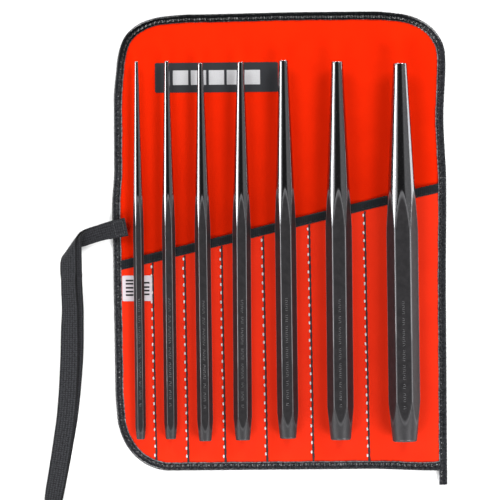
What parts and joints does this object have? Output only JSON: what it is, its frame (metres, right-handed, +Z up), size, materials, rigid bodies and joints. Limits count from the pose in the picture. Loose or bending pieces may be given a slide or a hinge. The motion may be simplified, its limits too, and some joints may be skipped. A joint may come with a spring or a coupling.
{
  "type": "taper punch set in tool roll",
  "caption": "Open tool roll of coated fabric with slanted stitched pockets and a tie strap, holding graduated hexagonal long taper punches that slide out.",
  "frame": {"origin": "under the middle of the open roll, tie strap left out, on the surface it lies on", "axes": "+Z up from the surface, +Y along the punches towards their points, +X across the punches towards the widest one"},
  "size_m": [0.2781, 0.3941, 0.0225],
  "materials": {
    "vinyl": "orange red vinyl coated fabric, fine grain",
    "binding_tape": "black grained vinyl tape, stitched, soft sheen",
    "patch": "charcoal print patch",
    "label": "white woven label",
    "webbing": "dark grey cotton webbing",
    "black_steel": "black oxide steel, ground tapers, oiled sheen"
  },
  "bodies": {
    "panel_1": {"back_panel_1": "vinyl", "pocket_1": "vinyl", "pocket_hem_1": "binding_tape", "left_binding": "binding_tape", "pocket_label": "label", "tie_strap_upper": "webbing", "tie_strap_lower": "webbing", "tie_strap_roll": "webbing"},
    "panel_2": {"back_panel_2": "vinyl", "pocket_2": "vinyl", "pocket_hem_2": "binding_tape", "bottom_binding_2": "binding_tape", "top_binding_2": "binding_tape", "patch_2": "patch"},
    "panel_3": {"back_panel_3": "vinyl", "pocket_3": "vinyl", "pocket_hem_3": "binding_tape", "bottom_binding_3": "binding_tape", "top_binding_3": "binding_tape", "patch_3": "patch"},
    "panel_4": {"back_panel_4": "vinyl", "pocket_4": "vinyl", "pocket_hem_4": "binding_tape", "bottom_binding_4": "binding_tape", "top_binding_4": "binding_tape", "patch_4": "patch"},
    "panel_5": {"back_panel_5": "vinyl", "pocket_5": "vinyl", "pocket_hem_5": "binding_tape", "bottom_binding_5": "binding_tape", "top_binding_5": "binding_tape", "patch_5": "patch"},
    "panel_6": {"back_panel_6": "vinyl", "pocket_6": "vinyl", "pocket_hem_6": "binding_tape", "bottom_binding_6": "binding_tape", "top_binding_6": "binding_tape"},
    "panel_7": {"back_panel_7": "vinyl", "pocket_7": "vinyl", "pocket_hem_7": "binding_tape", "bottom_binding_7": "binding_tape", "right_binding": "binding_tape"},
    "punch_1": {"taper_punch_1": "black_steel"},
    "punch_2": {"taper_punch_2": "black_steel"},
    "punch_3": {"taper_punch_3": "black_steel"},
    "punch_4": {"taper_punch_4": "black_steel"},
    "punch_5": {"taper_punch_5": "black_steel"},
    "punch_6": {"taper_punch_6": "black_steel"},
    "punch_7": {"taper_punch_7": "black_steel"}
  },
  "joints": [
    {"name": "fold_1", "type": "hinge", "parent": "panel_1", "child": "panel_2", "pos_m": [-0.08695, -0.07, 0.0032], "axis": [0.0096, -1, 0], "range_deg": [0, 30]},
    {"name": "fold_2", "type": "hinge", "parent": "panel_2", "child": "panel_3", "pos_m": [-0.06485, -0.07, 0.0032], "axis": [0.0096, -1, 0], "range_deg": [0, 33.01]},
    {"name": "fold_3", "type": "hinge", "parent": "panel_3", "child": "panel_4", "pos_m": [-0.0392, -0.07, 0.0032], "axis": [0.0096, -1, 0], "range_deg": [0, 38.01]},
    {"name": "fold_4", "type": "hinge", "parent": "panel_4", "child": "panel_5", "pos_m": [-0.0104, -0.07, 0.0032], "axis": [0.0096, -1, 0], "range_deg": [0, 48.01]},
    {"name": "fold_5", "type": "hinge", "parent": "panel_5", "child": "panel_6", "pos_m": [0.02145, -0.07, 0.0032], "axis": [0.0096, -1, 0], "range_deg": [0, 60.01]},
    {"name": "fold_6", "type": "hinge", "parent": "panel_6", "child": "panel_7", "pos_m": [0.0599, -0.07, 0.0032], "axis": [0.0096, -1, 0], "range_deg": [0, 76.01]},
    {"name": "punch_1_slide", "type": "slide", "parent": "panel_1", "child": "punch_1", "axis": [-0.003, 1, 0], "range_m": [0, 0.129]},
    {"name": "punch_2_slide", "type": "slide", "parent": "panel_2", "child": "punch_2", "axis": [-0.0028, 1, 0], "range_m": [0, 0.134]},
    {"name": "punch_3_slide", "type": "slide", "parent": "panel_3", "child": "punch_3", "axis": [-0.0049, 1, 0], "range_m": [0, 0.141]},
    {"name": "punch_4_slide", "type": "slide", "parent": "panel_4", "child": "punch_4", "axis": [0.0021, 1, 0], "range_m": [0, 0.147]},
    {"name": "punch_5_slide", "type": "slide", "parent": "panel_5", "child": "punch_5", "axis": [-0.0038, 1, 0], "range_m": [0, 0.154]},
    {"name": "punch_6_slide", "type": "slide", "parent": "panel_6", "child": "punch_6", "axis": [-0.0014, 1, 0], "range_m": [0, 0.163]},
    {"name": "punch_7_slide", "type": "slide", "parent": "panel_7", "child": "punch_7", "axis": [-0.0044, 1, 0], "range_m": [0, 0.175]}
  ],
  "couplings": [
    {"joint": "fold_2", "follows": "fold_1", "ratio": 1.1},
    {"joint": "fold_3", "follows": "fold_1", "ratio": 1.2667},
    {"joint": "fold_4", "follows": "fold_1", "ratio": 1.6},
    {"joint": "fold_5", "follows": "fold_1", "ratio": 2},
    {"joint": "fold_6", "follows": "fold_1", "ratio": 2.5333}
  ]
}
